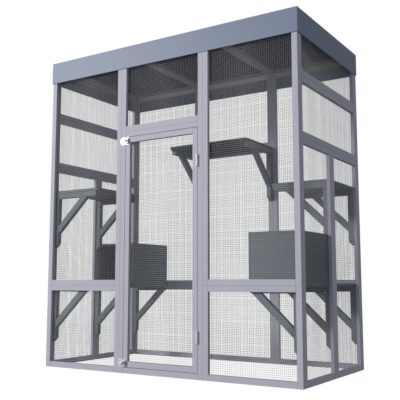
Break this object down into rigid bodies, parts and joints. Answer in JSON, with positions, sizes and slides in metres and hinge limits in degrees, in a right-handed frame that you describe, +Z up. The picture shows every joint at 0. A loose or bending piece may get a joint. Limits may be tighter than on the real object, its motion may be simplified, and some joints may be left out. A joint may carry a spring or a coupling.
{
  "type": "cat enclosure",
  "caption": "Walk-up outdoor cat enclosure of timber-framed wire mesh panels with a hinged bolted door, boarded roof, wall shelves on brackets and cat houses.",
  "frame": {"origin": "centre of the outline on the ground, under the cabin", "axes": "+X to the right seen from the front, +Y to the back wall, +Z up; the door is in the -Y face"},
  "size_m": [1.81, 0.9474, 2.017],
  "materials": {
    "wall_timber": "pale grey paint over planed softwood",
    "fascia": "pale grey paint over thin board",
    "slate_wood": "dark slate grey paint",
    "roof_board": "dark slate grey paint",
    "roof_timber": "brownish grey stain",
    "mesh_wire": "galvanised welded wire",
    "zinc": "bright zinc plate",
    "dark_steel": "dark plated steel"
  },
  "bodies": {
    "enclosure": {"back_fascia": "fascia", "back_left_lower_frame": "wall_timber", "back_left_upper_frame": "wall_timber", "back_middle_lower_frame": "wall_timber", "back_middle_top_frame": "wall_timber", "back_middle_upper_frame": "wall_timber", "back_right_lower_frame": "wall_timber", "back_right_upper_frame": "wall_timber", "back_wall_mesh": "mesh_wire", "bolt_keepers": "zinc", "door_surround": "wall_timber", "front_fascia": "fascia", "front_left_lower_frame": "wall_timber", "front_left_lower_mesh": "mesh_wire", "front_left_upper_frame": "wall_timber", "front_left_upper_mesh": "mesh_wire", "front_right_lower_frame": "wall_timber", "front_right_lower_mesh": "mesh_wire", "front_right_upper_frame": "wall_timber", "front_right_upper_mesh": "mesh_wire", "hinge_pins": "zinc", "left_cat_house": "slate_wood", "left_fascia": "fascia", "left_wall_lower_back_frame": "wall_timber", "left_wall_lower_front_frame": "wall_timber", "left_wall_mesh": "mesh_wire", "left_wall_middle_frame": "wall_timber", "left_wall_top_frame": "wall_timber", "lower_left_shelf": "slate_wood", "lower_left_shelf_brackets": "slate_wood", "lower_right_shelf": "slate_wood", "lower_right_shelf_brackets": "slate_wood", "middle_shelf": "slate_wood", "middle_shelf_brackets": "slate_wood", "post_hinge_leaves": "zinc", "right_cat_house": "slate_wood", "right_fascia": "fascia", "right_wall_lower_back_frame": "wall_timber", "right_wall_lower_front_frame": "wall_timber", "right_wall_mesh": "mesh_wire", "right_wall_middle_frame": "wall_timber", "right_wall_top_frame": "wall_timber", "roof_left_board": "roof_board", "roof_left_frame": "roof_timber", "roof_middle_board": "roof_board", "roof_middle_frame": "roof_timber", "roof_right_board": "roof_board", "roof_right_frame": "roof_timber", "screw_heads": "zinc", "transom_mesh": "mesh_wire", "upper_left_shelf": "slate_wood", "upper_left_shelf_brackets": "slate_wood", "upper_right_shelf": "slate_wood", "upper_right_shelf_brackets": "slate_wood"},
    "door": {"door_frame": "wall_timber", "door_mesh": "mesh_wire", "door_hinge_leaves": "zinc", "bolt_plates": "zinc"},
    "upper_bolt": {"top_bolt": "dark_steel"},
    "lower_bolt": {"bottom_bolt": "dark_steel"}
  },
  "joints": [
    {"name": "door_swing", "type": "hinge", "parent": "enclosure", "child": "door", "pos_m": [0.265, -0.45975, 0], "axis": [0, 0, 1], "range_deg": [0, 170]},
    {"name": "upper_bolt_slide", "type": "slide", "parent": "door", "child": "upper_bolt", "axis": [-1, 0, 0], "range_m": [0, 0.009]},
    {"name": "lower_bolt_slide", "type": "slide", "parent": "door", "child": "lower_bolt", "axis": [-1, 0, 0], "range_m": [0, 0.009]}
  ]
}
